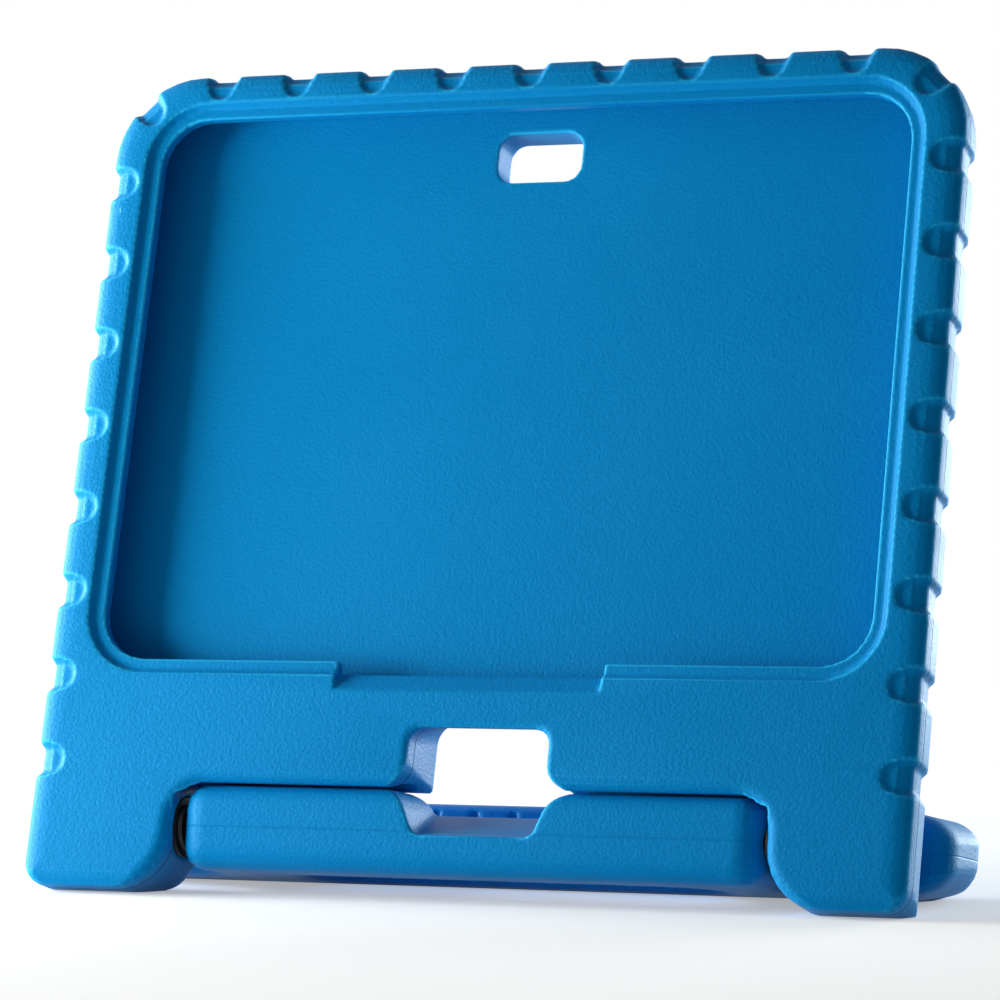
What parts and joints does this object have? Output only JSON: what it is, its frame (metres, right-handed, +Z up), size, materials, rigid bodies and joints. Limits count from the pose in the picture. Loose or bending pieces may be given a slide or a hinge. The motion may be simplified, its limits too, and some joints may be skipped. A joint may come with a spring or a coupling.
{
  "type": "kids tablet case",
  "caption": "Chunky foam tablet case with a framed screen window, notched edges and a swivelling handle that doubles as a desk stand.",
  "frame": {"origin": "centre of the bounding box on the surface that the case stands on", "axes": "+X to the right as one looks at the window, +Y to the back, +Z up"},
  "size_m": [0.2648, 0.0852, 0.2375],
  "materials": {
    "body_foam": "satin moulded foam with a fine pebbled skin",
    "handle_foam": "satin moulded foam with a fine pebbled skin",
    "black_plastic": "matte injection-moulded plastic"
  },
  "bodies": {
    "body": {"case_body": "body_foam", "pivot_bush_left": "black_plastic", "pivot_bush_right": "black_plastic"},
    "handle": {"handle": "handle_foam", "pivot_peg_left": "black_plastic", "pivot_peg_right": "black_plastic"}
  },
  "joints": [
    {"name": "handle_swing", "type": "hinge", "parent": "body", "child": "handle", "pos_m": [0.0025, -0.02671, 0.0184], "axis": [-1, 0, 0], "range_deg": [0, 172]}
  ]
}
